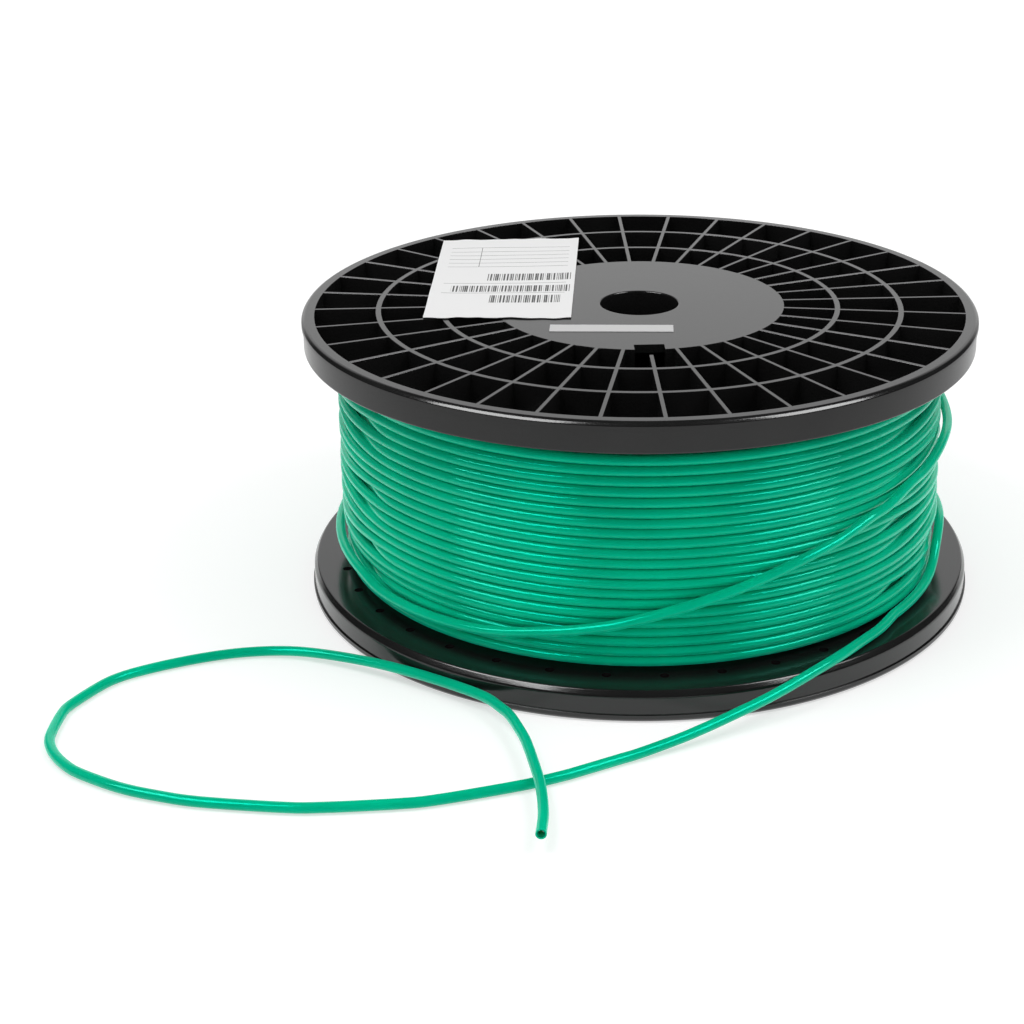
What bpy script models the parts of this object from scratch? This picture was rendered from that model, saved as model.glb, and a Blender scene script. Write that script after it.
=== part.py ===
"""Cable spool: a ribbed plastic reel that lies flat on one flange, wound with round cable.

The reel's axis is Z and the lower flange stands on the XY plane. The last turn of the cable
crosses the winding and runs off over the lower flange to a loop on the floor.
"""

from math import asin, ceil, cos, pi, radians, sin, tau

import bmesh
import bpy
import numpy as np
from mathutils import Vector

# Fits and facets
CLEARANCE = 0.0003
CUT_MARGIN = 0.001
FACETS = 60
MERGE_DISTANCE = 0.00001
SHARP_ANGLE = 30

# Reel
FLANGE_DIAMETER = 0.3556
SPOOL_WIDTH = 0.1524
FLANGE_DEPTH = 0.016
BORE_DIAMETER = 0.0413
HUB_DIAMETER = 0.1531
HUB_PLATE = 0.0044
WEB_THICKNESS = 0.003
RIM_LAND = 0.0059
EDGE_ROUND = 0.0016
BORE_ROUND = 0.0025
SLEEVE_WALL = 0.0025
LIP_HEIGHT = 0.0039
LIP_STEP = 0.0016
STEP_DROP = 0.0006
SHOULDER_RADIUS = 0.0032
SHOULDER_PIECES = 2
BARREL_DIAMETER = 0.1524
BARREL_WALL = 0.0032
SPIGOT_LENGTH = 0.01
SPIGOT_WALL = 0.0028

# Flange ribs, drain holes and the slot for the cable's inner end
RIB_COUNT = 36
RIB_WIDTH = 0.002
RING_WIDTH = 0.0028
RING_PLACES = (0.294, 0.641)
POCKET_ARC_PIECES = (1, 1, 2)
DRAIN_DIAMETER = 0.0046
DRAIN_INSET = 0.0114
DRAIN_SIDES = 6
SLOT_WIDTH = 0.0153
SLOT_INTO_HUB = 0.008
SLOT_INTO_WEB = 0.008
UPPER_FLANGE_TURN = -85.9
LOWER_FLANGE_TURN = 99.5

# Cable and its winding
CABLE_DIAMETER = 0.005
FREE_RIM = 0.0168
TURN_PITCH = 0.0055
LOWER_TURNS = 5
LOWER_SINK = 0.002
LOOP_POINTS = 24
LAYER_END = 20
LAST_TURN_POINTS = 48
WINDING_RESOLUTION = 1
LEAST_GAP = 0.0004

# Last turn: angle in degrees, rise over the layer in cable diameters, share of the height
LAST_TURN = (
    (372, 0.0, 1.0), (300, 0.0, 1.0), (220, 0.0, 1.0), (140, 0.0, 1.0), (90, 0.0, 1.0),
    (80, 0.12, 1.0), (70, 0.5, 1.0), (60, 1.08, 0.99), (50, 1.2, 0.935), (40, 1.15, 0.85),
    (28, 1.14, 0.765), (16, 1.13, 0.703), (6, 1.13, 0.672), (-1, 1.13, 0.659), (-8, 1.13, 0.658),
    (-14.5, 1.13, 0.658), (-18, 1.13, 0.652), (-23.5, 1.13, 0.634), (-29.2, 1.13, 0.614),
    (-33.3, 1.13, 0.608), (-36.6, 1.13, 0.594), (-41.8, 1.13, 0.557), (-46.7, 1.13, 0.539),
    (-53.8, 1.13, 0.489), (-62, 1.13, 0.44), (-73, 1.13, 0.363), (-86.5, 1.13, 0.272),
    (-93.1, 1.13, 0.227), (-99.9, 0.92, 0.187), (-106.9, 0.78, 0.154), (-114.4, 0.75, 0.122),
    (-120.4, 0.75, 0.107), (-131.9, 0.75, 0.096), (-143.9, 0.75, 0.095), (-155.1, 0.75, 0.121),
    (-190, 0.75, 0.13), (-235, 0.75, 0.14), (-280, 0.75, 0.148), (-320, 0.75, 0.152),
    (-345, 0.75, 0.16), (-360, 0.76, 0.17), (-368, 0.77, 0.17), (-374, 0.76, 0.135),
    (-376.8, 0.75, 0.08), (-380.2, 0.75, 0.036), (-383.6, 0.75, 0.02), (-387.3, 0.75, 0.012),
    (-391.4, 0.76, 0.0075), (-396, 0.8, 0.005),
)

# Free tail: the route that its middle follows over the flange and the floor
TAIL_ROUTE = (
    (0.1201, -0.1152, 0.0191), (0.1087, -0.1304, 0.0190), (0.0977, -0.1446, 0.0190),
    (0.0771, -0.1634, 0.0157), (0.0671, -0.1708, 0.0134), (0.0573, -0.1776, 0.0114),
    (0.0381, -0.1899, 0.0080), (0.0286, -0.1958, 0.0065), (0.0192, -0.2013, 0.0051),
    (0.0007, -0.2116, 0.0032), (-0.0084, -0.2164, 0.0028), (-0.0264, -0.2273, 0.0028),
    (-0.0353, -0.2323, 0.0028), (-0.0528, -0.2403, 0.0028), (-0.0876, -0.2524, 0.0028),
    (-0.1049, -0.2562, 0.0028), (-0.1396, -0.2598, 0.0028), (-0.1573, -0.2597, 0.0028),
    (-0.1933, -0.2557, 0.0028), (-0.2120, -0.2511, 0.0028), (-0.2314, -0.2441, 0.0028),
    (-0.2523, -0.2320, 0.0028), (-0.2608, -0.2246, 0.0028), (-0.2679, -0.2156, 0.0028),
    (-0.2726, -0.2065, 0.0028), (-0.2748, -0.1972, 0.0028), (-0.2748, -0.1779, 0.0028),
    (-0.2728, -0.1680, 0.0028), (-0.2624, -0.1476, 0.0028), (-0.2549, -0.1387, 0.0028),
    (-0.2461, -0.1323, 0.0028), (-0.2337, -0.1252, 0.0028), (-0.2176, -0.1178, 0.0028),
    (-0.2009, -0.1127, 0.0029), (-0.1834, -0.1110, 0.0032), (-0.1678, -0.1136, 0.0040),
    (-0.1492, -0.1208, 0.0052), (-0.1279, -0.1315, 0.0066), (-0.1068, -0.1443, 0.0076),
    (-0.0861, -0.1581, 0.0081), (-0.0728, -0.1686, 0.0083), (-0.0655, -0.1782, 0.0084),
    (-0.0600, -0.1871, 0.0085), (-0.0529, -0.2063, 0.0087), (-0.0503, -0.2161, 0.0088),
    (-0.0481, -0.2256, 0.0088), (-0.0433, -0.2493, 0.0089), (-0.0409, -0.2731, 0.0092),
    (-0.0411, -0.2914, 0.0096),
)
ROUTE_PIECES = 8
TAIL_SPACING = 0.0118
TAIL_RESOLUTION = 2
TAIL_POINTS_APART = 6

# Cut end of the cable
JACKET_WALL = 0.0006
WIRE_GAP = 0.0002
WIRE_SIDES = 8
CUT_END_DEPTH = 0.011
WIRE_RECESS = 0.004
WIRE_COLOURS = {
    "white_blue_wire": (0.70, 0.76, 0.84),
    "blue_wire": (0.03, 0.12, 0.55),
    "white_orange_wire": (0.86, 0.74, 0.62),
    "orange_wire": (0.80, 0.25, 0.02),
    "white_green_wire": (0.68, 0.80, 0.70),
    "green_wire": (0.02, 0.30, 0.09),
    "white_brown_wire": (0.74, 0.68, 0.62),
    "brown_wire": (0.17, 0.07, 0.03),
}

# Labels
LABEL_SIZE = (0.078, 0.1467)
LABEL_FROM_BORE = 0.0146
LABEL_SHIFT = 0.0457
STRIP_SIZE = (0.0632, 0.0107)
STRIP_FROM_BORE = 0.0174
STRIP_SHIFT = -0.0141
PAPER_THICKNESS = 0.0002

# Colours
PLASTIC_COLOUR = (0.022, 0.022, 0.023)
JACKET_COLOUR = (0.0, 0.392, 0.202)
PAPER_COLOUR = (0.85, 0.85, 0.84)

# Sizes worked out from the driving ones
flange_radius = FLANGE_DIAMETER / 2
bore_radius = BORE_DIAMETER / 2
hub_radius = HUB_DIAMETER / 2
barrel_radius = BARREL_DIAMETER / 2
cable_radius = CABLE_DIAMETER / 2
rim_inside = flange_radius - RIM_LAND
spigot_radius = barrel_radius - BARREL_WALL - CLEARANCE
winding_bottom = FLANGE_DEPTH + CLEARANCE
winding_top = SPOOL_WIDTH - FLANGE_DEPTH - CLEARANCE
low_turn_height = winding_bottom + cable_radius
top_turn_height = winding_top - cable_radius
layer_radius = flange_radius - FREE_RIM - cable_radius
core_radius = (layer_radius - LOWER_SINK) * cos(pi / LOOP_POINTS) - cable_radius - CLEARANCE


def clear_scene():
    """Remove what a new scene holds."""
    for item in list(bpy.data.objects):
        bpy.data.objects.remove(item, do_unlink=True)


def new_collection(name):
    """Make a collection in the scene."""
    collection = bpy.data.collections.new(name)
    bpy.context.scene.collection.children.link(collection)
    return collection


def new_material(name, colour, roughness):
    """Make a Principled material of plastic or paper."""
    material = bpy.data.materials.new(name)
    material.use_nodes = True
    shader = material.node_tree.nodes["Principled BSDF"]
    shader.inputs["Base Color"].default_value = (*colour, 1.0)
    shader.inputs["Roughness"].default_value = roughness
    shader.inputs["Metallic"].default_value = 0.0
    return material


def add_piece(name, data, material, collection):
    """Link an object of this data, with its material, to a collection."""
    piece = bpy.data.objects.new(name, data)
    if material and not data.materials:
        data.materials.append(material)
    collection.objects.link(piece)
    return piece


def add_cutter(name, data):
    """Link a cutter, which is drawn as wire and left out of the model."""
    cutter = add_piece(name, data, None, cutters)
    cutter.hide_render = True
    cutter.display_type = "WIRE"
    return cutter


def baked_mesh(piece):
    """Return the object's evaluated mesh with its loose caps welded, and remove the object."""
    evaluated = piece.evaluated_get(bpy.context.evaluated_depsgraph_get())
    mesh = bpy.data.meshes.new_from_object(evaluated)
    mesh.transform(piece.matrix_world)
    welded = bmesh.new()
    welded.from_mesh(mesh)
    bmesh.ops.remove_doubles(welded, verts=welded.verts, dist=MERGE_DISTANCE)
    welded.to_mesh(mesh)
    welded.free()
    bpy.data.objects.remove(piece, do_unlink=True)
    return mesh


def turned_piece(name, outline, material, collection):
    """Turn a closed outline of (radius, height) points about Z."""
    count = len(outline)
    mesh = bpy.data.meshes.new(name)
    edges = [(i, (i + 1) % count) for i in range(count)]
    mesh.from_pydata([(radius, 0.0, height) for radius, height in outline], edges, [])
    piece = add_piece(name, mesh, material, collection)
    screw = piece.modifiers.new("Turn", "SCREW")
    screw.angle = tau
    screw.steps = FACETS
    screw.render_steps = FACETS
    screw.use_merge_vertices = True
    screw.merge_threshold = MERGE_DISTANCE
    return piece


def tube_curve(name, points, radius, resolution):
    """Make a round tube along points, closed at both ends."""
    curve = bpy.data.curves.new(name, "CURVE")
    curve.dimensions = "3D"
    curve.bevel_depth = radius
    curve.bevel_resolution = resolution
    curve.use_fill_caps = True
    spline = curve.splines.new("POLY")
    spline.points.add(len(points) - 1)
    for spline_point, point in zip(spline.points, points):
        spline_point.co = (*point, 1.0)
    return curve


def outline_cutter(name, outlines, low, high):
    """Make a cutter of flat outlines that runs from one height to another."""
    curve = bpy.data.curves.new(name, "CURVE")
    curve.dimensions = "2D"
    curve.fill_mode = "BOTH"
    curve.extrude = (high - low) / 2
    for outline in outlines:
        spline = curve.splines.new("POLY")
        spline.points.add(len(outline) - 1)
        for spline_point, (x, y) in zip(spline.points, outline):
            spline_point.co = (x, y, 0.0, 1.0)
        spline.use_cyclic_u = True
    flat = add_piece(name + "_outline", curve, None, cutters)
    flat.location.z = (low + high) / 2
    bpy.context.view_layer.update()
    return add_cutter(name, baked_mesh(flat))


def cut(piece, cutter):
    """Cut one object out of another."""
    boolean = piece.modifiers.new(cutter.name, "BOOLEAN")
    boolean.operation = "DIFFERENCE"
    boolean.solver = "EXACT"
    boolean.object = cutter


def polar(angle, radius):
    """Return the XY point at an angle in radians."""
    return radius * cos(angle), radius * sin(angle)


def pocket_outlines():
    """Return the outline of every pocket between the flange's ribs and rings."""
    field = rim_inside - hub_radius
    rings = [hub_radius + field * place for place in RING_PLACES]
    inner_walls = [hub_radius] + [ring + RING_WIDTH / 2 for ring in rings]
    outer_walls = [ring - RING_WIDTH / 2 for ring in rings] + [rim_inside]
    outlines = []
    for rib in range(RIB_COUNT):
        start = tau * rib / RIB_COUNT
        end = tau * (rib + 1) / RIB_COUNT
        for inner, outer, pieces in zip(inner_walls, outer_walls, POCKET_ARC_PIECES):
            outline = []
            for radius, order in ((inner, range(pieces + 1)), (outer, range(pieces, -1, -1))):
                rib_half = asin(RIB_WIDTH / 2 / radius)
                span = end - start - 2 * rib_half
                outline += [polar(start + rib_half + span * i / pieces, radius) for i in order]
            outlines.append(outline)
    return outlines


def drain_outlines():
    """Return a round outline in the middle of every outer pocket."""
    outlines = []
    for pocket in range(RIB_COUNT):
        x, y = polar(tau * (pocket + 0.5) / RIB_COUNT, rim_inside - DRAIN_INSET)
        sides = [polar(tau * i / DRAIN_SIDES, DRAIN_DIAMETER / 2) for i in range(DRAIN_SIDES)]
        outlines.append([(x + side_x, y + side_y) for side_x, side_y in sides])
    return outlines


def flange_outline():
    """Return the flange's section, with its outer face at height 0 and its spigot below."""
    wall_radius = flange_radius - LIP_STEP
    shoulder_middle = wall_radius - SHOULDER_RADIUS
    outline = [
        (bore_radius + BORE_ROUND, 0.0),
        (flange_radius - EDGE_ROUND, 0.0),
        (flange_radius, -EDGE_ROUND),
        (flange_radius, -LIP_HEIGHT),
        (wall_radius, -LIP_HEIGHT - STEP_DROP),
    ]
    for piece in range(SHOULDER_PIECES + 1):
        x, y = polar(pi / 2 * piece / SHOULDER_PIECES, SHOULDER_RADIUS)
        outline.append((shoulder_middle + x, SHOULDER_RADIUS - FLANGE_DEPTH - y))
    spigot_end = -FLANGE_DEPTH - SPIGOT_LENGTH
    return outline + [
        (spigot_radius, -FLANGE_DEPTH),
        (spigot_radius, spigot_end),
        (spigot_radius - SPIGOT_WALL, spigot_end),
        (spigot_radius - SPIGOT_WALL, -HUB_PLATE),
        (bore_radius + SLEEVE_WALL, -HUB_PLATE),
        (bore_radius + SLEEVE_WALL, -FLANGE_DEPTH),
        (bore_radius, -FLANGE_DEPTH),
        (bore_radius, -BORE_ROUND),
    ]


def slot_cutter():
    """Make the cutter of the slot at the hub's edge, centred on the first rib."""
    inner = hub_radius - SLOT_INTO_HUB
    outer = hub_radius + SLOT_INTO_WEB
    half = SLOT_WIDTH / 2
    outline = [(inner, -half), (outer, -half), (outer, half), (inner, half)]
    low = -FLANGE_DEPTH - SPIGOT_LENGTH - CUT_MARGIN
    return outline_cutter("slot", [outline], low, CUT_MARGIN)


def flange_mesh():
    """Make the moulded flange: a turned disc with pockets, drain holes and a slot cut out."""
    pocket_floor = WEB_THICKNESS - FLANGE_DEPTH
    blank = turned_piece("flange_blank", flange_outline(), black_plastic, cutters)
    cut(blank, outline_cutter("pockets", pocket_outlines(), pocket_floor, CUT_MARGIN))
    through = -FLANGE_DEPTH - CUT_MARGIN
    cut(blank, outline_cutter("drains", drain_outlines(), through, pocket_floor + CUT_MARGIN))
    cut(blank, slot_cutter())
    return baked_mesh(blank)


def add_reel():
    """Add the two like flanges, one turned over, and the barrel between them."""
    mesh = flange_mesh()
    mesh.shade_smooth()
    mesh.set_sharp_from_angle(angle=radians(SHARP_ANGLE))
    upper = add_piece("upper_flange", mesh, black_plastic, spool)
    upper.location.z = SPOOL_WIDTH
    upper.rotation_euler.z = radians(UPPER_FLANGE_TURN)
    lower = add_piece("lower_flange", mesh, black_plastic, spool)
    lower.rotation_euler = (pi, 0.0, radians(LOWER_FLANGE_TURN))
    inside = barrel_radius - BARREL_WALL
    outline = [
        (inside, winding_top),
        (barrel_radius, winding_top),
        (barrel_radius, winding_bottom),
        (inside, winding_bottom),
    ]
    turned_piece("barrel", outline, barrel_plastic, spool)


def add_packed_cable():
    """Add the inner layers of cable as one plain ring round the barrel."""
    inside = barrel_radius + CLEARANCE
    outline = [
        (inside, winding_top),
        (core_radius, winding_top),
        (core_radius, winding_bottom),
        (inside, winding_bottom),
    ]
    turned_piece("packed_cable", outline, jacket, spool)


def add_outer_layer():
    """Add the outer layer as one helix, sunk at its lowest turns, with the top groove left free."""
    climb = top_turn_height - TURN_PITCH - low_turn_height
    loops = ceil(climb / TURN_PITCH)
    count = loops * LOOP_POINTS
    points = []
    for i in range(count + 1):
        sunk_share = min(1.0, max(0.0, LOWER_TURNS - i / LOOP_POINTS))
        radius = layer_radius - LOWER_SINK * sunk_share
        x, y = polar(radians(LAYER_END) + tau * (count - i) / LOOP_POINTS, radius)
        points.append((x, y, low_turn_height + climb * i / count))
    curve = tube_curve("outer_layer", points, cable_radius, WINDING_RESOLUTION)
    add_piece("outer_layer", curve, jacket, spool)
    print_least_gap("outer_layer", points, LOOP_POINTS // 2)


def print_least_gap(name, points, apart):
    """Print a tube's least gap to itself, between points that lie far apart along it."""
    places = np.array(points)
    least = min(
        np.linalg.norm(places[i + apart:] - places[i], axis=1).min()
        for i in range(len(places) - apart)
    )
    gap = least - CABLE_DIAMETER
    print(f"{name}: least gap {gap * 1000:.2f} mm, over {LEAST_GAP * 1000:.1f} mm: {gap > LEAST_GAP}")


def smooth_curve(points):
    """Return points of a Catmull-Rom curve through the given points."""
    places = [np.array(point, dtype=float) for point in points]
    ends = [2 * places[0] - places[1], *places, 2 * places[-1] - places[-2]]
    curve = []
    for before, start, end, after in zip(ends, ends[1:], ends[2:], ends[3:]):
        for piece in range(ROUTE_PIECES):
            t = piece / ROUTE_PIECES
            square = (2 * before - 5 * start + 4 * end - after) * t ** 2
            cube = (3 * start - before - 3 * end + after) * t ** 3
            curve.append((2 * start + (end - before) * t + square + cube) / 2)
    return np.array([*curve, places[-1]])


def evenly_spaced(points, spacing):
    """Return points at even steps along a line of points, with both ends kept."""
    lengths = np.linalg.norm(np.diff(points, axis=0), axis=1)
    along = np.concatenate(([0.0], np.cumsum(lengths)))
    steps = np.linspace(0.0, along[-1], ceil(along[-1] / spacing) + 1)
    return np.stack([np.interp(steps, along, points[:, axis]) for axis in range(3)], axis=1)


def last_turn_route():
    """Return the last turn from its groove, across the winding, to where it leaves the reel."""
    route = []
    for angle, rise, share in smooth_curve(LAST_TURN):
        x, y = polar(radians(angle), layer_radius + rise * CABLE_DIAMETER)
        route.append((x, y, low_turn_height + share * (top_turn_height - low_turn_height)))
    return np.array(route)


def add_drawn_cable():
    """Add the last turn and the free tail, and return the tail's end and its direction."""
    turn = last_turn_route()
    turn_spacing = tau * layer_radius / LAST_TURN_POINTS
    turn_points = evenly_spaced(turn, turn_spacing)
    curve = tube_curve("last_turn", turn_points, cable_radius, WINDING_RESOLUTION)
    add_piece("last_turn", curve, jacket, spool)
    print_least_gap("last_turn", turn_points, LAST_TURN_POINTS // 2)
    heading = turn_points[-1] - turn_points[-2]
    heading /= np.linalg.norm(heading)
    start = turn_points[-1] + heading * CLEARANCE
    tail = smooth_curve([start, start + heading * CABLE_DIAMETER, *TAIL_ROUTE])
    tail_points = evenly_spaced(tail, TAIL_SPACING)
    end = Vector(tail_points[-1])
    direction = (end - Vector(tail_points[-2])).normalized()
    curve = tube_curve("free_tail", tail_points, cable_radius, TAIL_RESOLUTION)
    tube = add_piece("free_tail_tube", curve, jacket, cutters)
    bpy.context.view_layer.update()
    tail_piece = add_piece("free_tail", baked_mesh(tube), jacket, spool)
    bore = add_cutter("cut_end_bore", rod_mesh("cut_end_bore", jacket_inside, 2 * CUT_END_DEPTH))
    place_along(bore, end, direction)
    cut(tail_piece, bore)
    print_least_gap("free_tail", tail_points, TAIL_POINTS_APART)
    return end, direction


def rod_mesh(name, radius, length):
    """Make the mesh of a straight round rod, with its middle at the origin."""
    rod = bmesh.new()
    bmesh.ops.create_cone(
        rod, cap_ends=True, segments=WIRE_SIDES, radius1=radius, radius2=radius, depth=length
    )
    mesh = bpy.data.meshes.new(name)
    rod.to_mesh(mesh)
    rod.free()
    return mesh


def place_along(piece, middle, direction):
    """Put an object at a point, with its Z axis along a direction."""
    piece.location = middle
    piece.rotation_euler = direction.to_track_quat("Z", "Y").to_euler()


def add_wires(end, direction):
    """Add the insulated wires inside the cut end: one in the middle and a ring around it."""
    length = CUT_END_DEPTH - WIRE_RECESS - CLEARANCE
    across = direction.to_track_quat("Z", "Y")
    for index, (name, colour) in enumerate(WIRE_COLOURS.items()):
        offset = Vector((0.0, 0.0, -WIRE_RECESS - length / 2))
        if index > 0:
            offset.xy = polar(tau * index / ring_wires, ring_radius)
        material = new_material(name, colour, roughness=0.4)
        wire = add_piece(name, rod_mesh(name, wire_diameter / 2, length), material, spool)
        place_along(wire, end + across @ offset, direction)


def add_label(name, size, middle):
    """Add a paper label flat on the upper flange."""
    bpy.ops.mesh.primitive_cube_add(size=1.0)
    label = bpy.context.object
    label.name = name
    height = SPOOL_WIDTH + CLEARANCE + PAPER_THICKNESS / 2
    label.scale = (*size, PAPER_THICKNESS)
    bpy.ops.object.transform_apply(location=False, rotation=False, scale=True)
    label.location = (*middle, height)
    label.data.materials.append(paper)
    for collection in list(label.users_collection):
        collection.objects.unlink(label)
    spool.objects.link(label)


def add_labels():
    """Add the sheet beside the bore and the narrow strip in front of it."""
    sheet_x = -bore_radius - LABEL_FROM_BORE - LABEL_SIZE[0] / 2
    add_label("label_sheet", LABEL_SIZE, (sheet_x, LABEL_SHIFT))
    strip_y = -bore_radius - STRIP_FROM_BORE - STRIP_SIZE[1] / 2
    add_label("strip_label", STRIP_SIZE, (STRIP_SHIFT, strip_y))


# Wires that fill the jacket's inside: one in the middle, the others in a ring
ring_wires = len(WIRE_COLOURS) - 1
ring_share = 1 / (2 * sin(pi / ring_wires))
jacket_inside = cable_radius - JACKET_WALL
wire_diameter = (jacket_inside - CLEARANCE - WIRE_GAP * ring_share) / (ring_share + 0.5)
ring_radius = (wire_diameter + WIRE_GAP) * ring_share

clear_scene()
spool = new_collection("wire_spool")
cutters = new_collection("cutters")
black_plastic = new_material("black_plastic", PLASTIC_COLOUR, roughness=0.45)
barrel_plastic = new_material("barrel_plastic", PLASTIC_COLOUR, roughness=0.5)
jacket = new_material("jacket", JACKET_COLOUR, roughness=0.35)
paper = new_material("paper", PAPER_COLOUR, roughness=0.8)

add_reel()
add_packed_cable()
add_outer_layer()
tail_end, tail_direction = add_drawn_cable()
add_wires(tail_end, tail_direction)
add_labels()
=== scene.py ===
"""Looks of a cable spool: a ribbed black reel on its flange, wound with green network cable."""

from math import asin, atan2, cos, pi, radians, sin, tau

import bmesh
import bpy
import numpy as np
from mathutils import Matrix, Vector, noise


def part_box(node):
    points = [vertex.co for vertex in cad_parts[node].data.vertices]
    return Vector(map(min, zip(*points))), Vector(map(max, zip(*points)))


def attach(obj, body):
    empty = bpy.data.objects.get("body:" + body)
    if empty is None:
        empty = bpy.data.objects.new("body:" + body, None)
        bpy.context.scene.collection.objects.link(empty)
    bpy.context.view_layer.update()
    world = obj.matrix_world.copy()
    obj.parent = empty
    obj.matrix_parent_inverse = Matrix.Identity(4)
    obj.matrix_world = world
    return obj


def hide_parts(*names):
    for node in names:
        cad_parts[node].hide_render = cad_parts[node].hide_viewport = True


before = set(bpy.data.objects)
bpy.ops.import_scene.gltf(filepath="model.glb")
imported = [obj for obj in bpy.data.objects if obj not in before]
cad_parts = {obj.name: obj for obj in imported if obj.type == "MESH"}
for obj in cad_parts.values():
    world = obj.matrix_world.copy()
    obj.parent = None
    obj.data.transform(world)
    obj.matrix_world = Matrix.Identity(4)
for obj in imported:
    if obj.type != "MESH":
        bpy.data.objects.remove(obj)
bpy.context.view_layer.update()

# Flanges
# Two like mouldings of black plastic, one turned over, pressed onto the ends of the barrel. A flange is a
# thin web with 36 ribs and two rings on its outer face, a flat hub, drain holes and a rim with a lip. Only
# the shoulders at the inner edges of the rims differ.
spool_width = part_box("upper_flange")[1].z
flange_radius = 0.1778
flange_depth = 0.016
web_thickness = 0.003
bore_radius = 0.02065
bore_round = 0.0008
sleeve_wall = 0.0025
hub_radius = 0.07655
hub_plate = 0.0044
rim_inside = 0.171
ring_middles = (0.10458, 0.13767)
ring_width = 0.0028
rib_count = 36
rib_width = 0.002
rib_round = 0.00015
rib_round_pieces = 2
# Each edge of a rim: the round at the flat face, the length of the slope, and the round at the wall.
lip_edge = (0.0024, 0.0007, 0.0012)
shoulder_edges = {"upper_flange": (0.0008, 0.0, 0.0012), "lower_flange": (0.0015, 0.0018, 0.003)}
edge_slope = radians(34)
edge_pieces = 6
lip_height = 0.0039
lip_step = 0.0008
step_drop = 0.0003
step_round = 0.0001
step_pieces = 3
spigot_radius = 0.0727
spigot_wall = 0.0028
spigot_length = 0.01
sector_columns = 6
drain_radius = 0.0023
drain_place = 0.1605
drain_sides = 20
slot_width = 0.0153
slot_reach = (0.06855, 0.08455)
drain_cutter_spare = 0.002
slot_cutter_height = 0.06
upper_turn = radians(-85.9)
lower_turn = radians(99.5)
merge_distance = 0.000005
upright_normal = 0.1
level_normal = 0.9
flange_sharp_angle = radians(20)
flat_face_weight = 100
plastic_blacks = ((0.006, 0.006, 0.006), (0.011, 0.011, 0.011))


def arc(middle, reach, start, end, pieces):
    """Return points of an arc as (radius, height) pairs."""
    angles = [radians(start + (end - start) * i / pieces) for i in range(pieces + 1)]
    return [(middle[0] + reach * cos(a), middle[1] + reach * sin(a)) for a in angles]


def rounded_edge(flat_round, slope_length, wall_round):
    """Return an edge from a flat face to a wall as (out, down) pairs: rounded, sloped and rounded again."""
    flat_angles = np.linspace(pi / 2, edge_slope, edge_pieces + 1)
    flat = [(flat_round * cos(a), flat_round * (1 - sin(a))) for a in flat_angles]
    out = flat[-1][0] + slope_length * sin(edge_slope) - wall_round * cos(edge_slope)
    down = flat[-1][1] + slope_length * cos(edge_slope) + wall_round * sin(edge_slope)
    wall_angles = np.linspace(edge_slope, 0.0, edge_pieces)
    wall = [(out + wall_round * cos(a), down - wall_round * sin(a)) for a in wall_angles]
    return flat + wall


def flange_section(shoulder_edge):
    """Return the flange's section, with its outer face at height 0 and its spigot below."""
    ring_edges = []
    for middle in ring_middles:
        ring_edges += [(middle - ring_width / 2, 0.0), (middle + ring_width / 2, 0.0)]
    wall_radius = flange_radius - lip_step
    lip = rounded_edge(*lip_edge)
    shoulder = rounded_edge(*shoulder_edge)
    lip_flat = flange_radius - lip[-1][0]
    shoulder_flat = wall_radius - shoulder[-1][0]
    return [
        *arc((bore_radius + bore_round, -bore_round), bore_round, 180, 90, edge_pieces),
        (bore_radius + 2 * bore_round, 0.0),
        (hub_radius - rib_width, 0.0),
        (hub_radius, 0.0),
        *ring_edges,
        (rim_inside, 0.0),
        *[(lip_flat + out, -down) for out, down in lip],
        *arc((flange_radius - step_round, step_round - lip_height), step_round, 0, -90, step_pieces),
        (wall_radius + step_round, -lip_height),
        (wall_radius, -lip_height - step_drop),
        *[(shoulder_flat + out, down - flange_depth) for out, down in reversed(shoulder)],
        (spigot_radius, -flange_depth),
        (spigot_radius, -flange_depth - spigot_length),
        (spigot_radius - spigot_wall, -flange_depth - spigot_length),
        (spigot_radius - spigot_wall, -hub_plate),
        (bore_radius + sleeve_wall, -hub_plate),
        (bore_radius + sleeve_wall, -flange_depth),
        (bore_radius, -flange_depth),
    ]


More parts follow.
